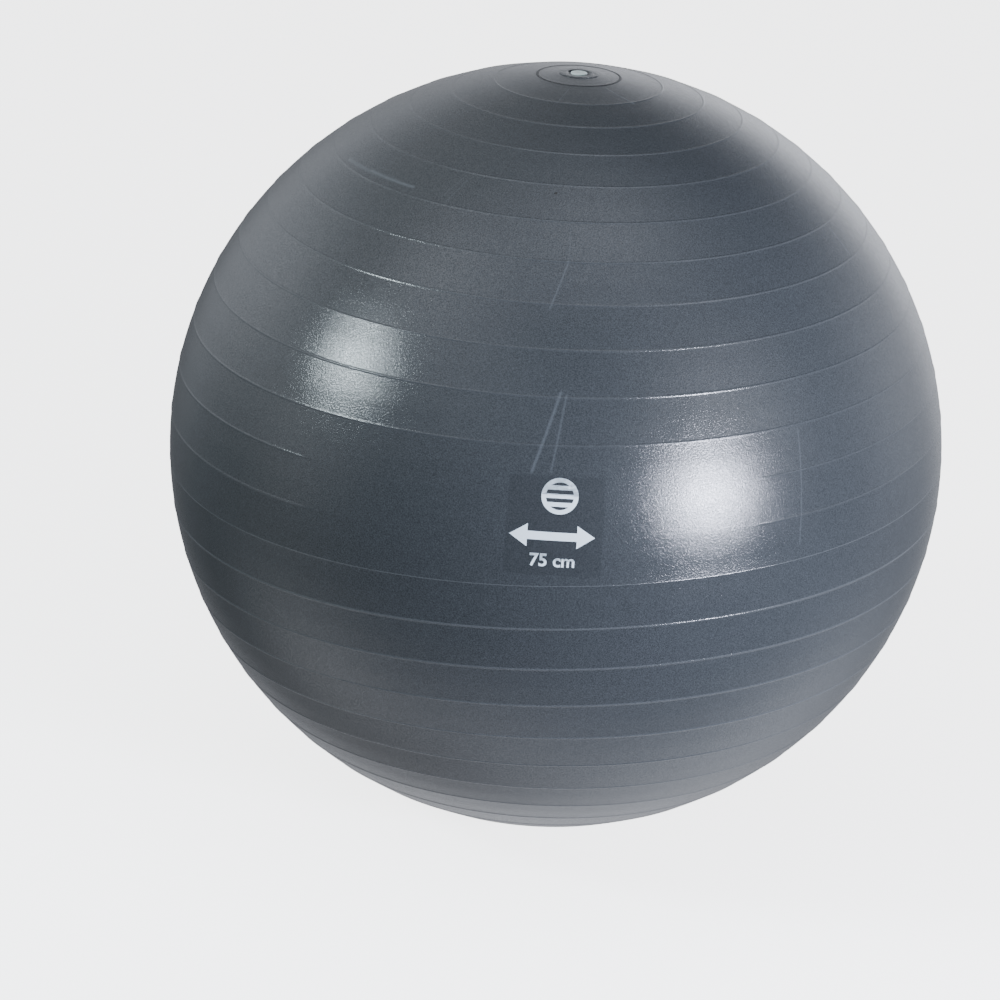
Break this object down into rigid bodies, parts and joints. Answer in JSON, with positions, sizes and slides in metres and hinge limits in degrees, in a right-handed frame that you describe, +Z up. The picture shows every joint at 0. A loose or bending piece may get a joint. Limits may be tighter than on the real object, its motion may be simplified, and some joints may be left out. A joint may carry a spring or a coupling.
{
  "type": "exercise ball",
  "caption": "Inflated exercise ball with fine moulded grip ribs round its valve axis, a smooth print panel, a bonded valve seat and a push-in air plug that slides out.",
  "frame": {"origin": "the middle of the flat patch that the ball stands on", "axes": "+Z up along the air plug's axis; -Y faces the printed side, so +X is to the right as the print is read"},
  "size_m": [0.7504, 0.7504, 0.7428],
  "materials": {
    "skin": "satin",
    "seat": "satin",
    "plug": "satin"
  },
  "bodies": {
    "ball": {"ball_skin": "skin", "valve_seat": "seat"},
    "plug": {"air_plug": "plug"}
  },
  "joints": [
    {"name": "plug_pull", "type": "slide", "parent": "ball", "child": "plug", "axis": [0, 0, 1], "range_m": [0, 0.06]}
  ]
}
